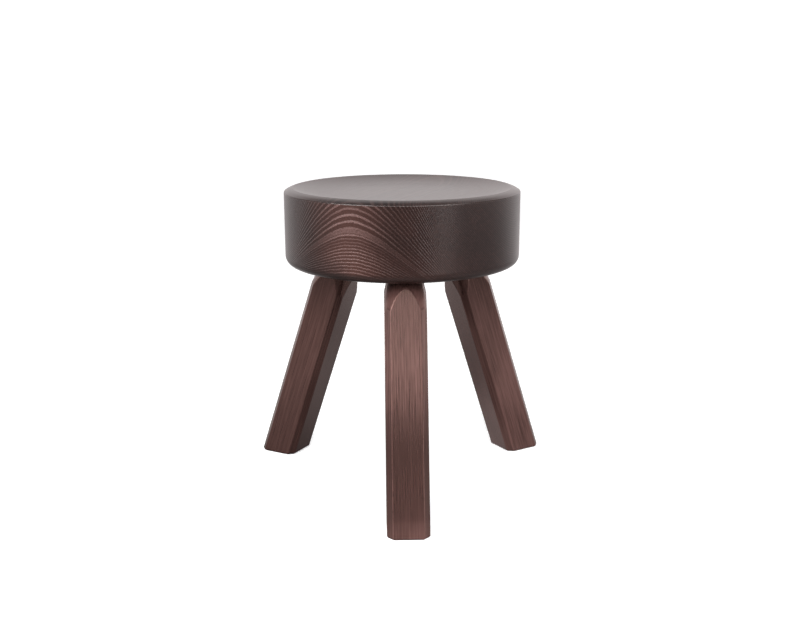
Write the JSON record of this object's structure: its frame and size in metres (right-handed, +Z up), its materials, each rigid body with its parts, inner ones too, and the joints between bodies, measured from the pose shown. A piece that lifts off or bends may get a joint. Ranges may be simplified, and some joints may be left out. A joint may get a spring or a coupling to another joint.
{
  "type": "stool",
  "caption": "Low stool with a thick round dished seat on splayed square legs, in dark stained softwood, for sitting on or as a small side table.",
  "frame": {"origin": "on the floor, under the centre of the seat, where the seat's upright axis meets the plane of the feet", "axes": "+Z up along the seat's axis; -Y towards the front leg; +X towards the right back leg's side"},
  "size_m": [0.3938, 0.3667, 0.386],
  "materials": {
    "seat_timber": "dark brown stain under satin lacquer, ring grain showing",
    "leg_timber": "dark brown stain under satin lacquer, straight grain",
    "wedge_timber": "bare hardwood, sawn"
  },
  "bodies": {
    "root": {"seat": "seat_timber", "leg_front": "leg_timber", "leg_back_right": "leg_timber", "leg_back_left": "leg_timber", "wedge_front": "wedge_timber", "wedge_back_right": "wedge_timber", "wedge_back_left": "wedge_timber"}
  },
  "joints": []
}
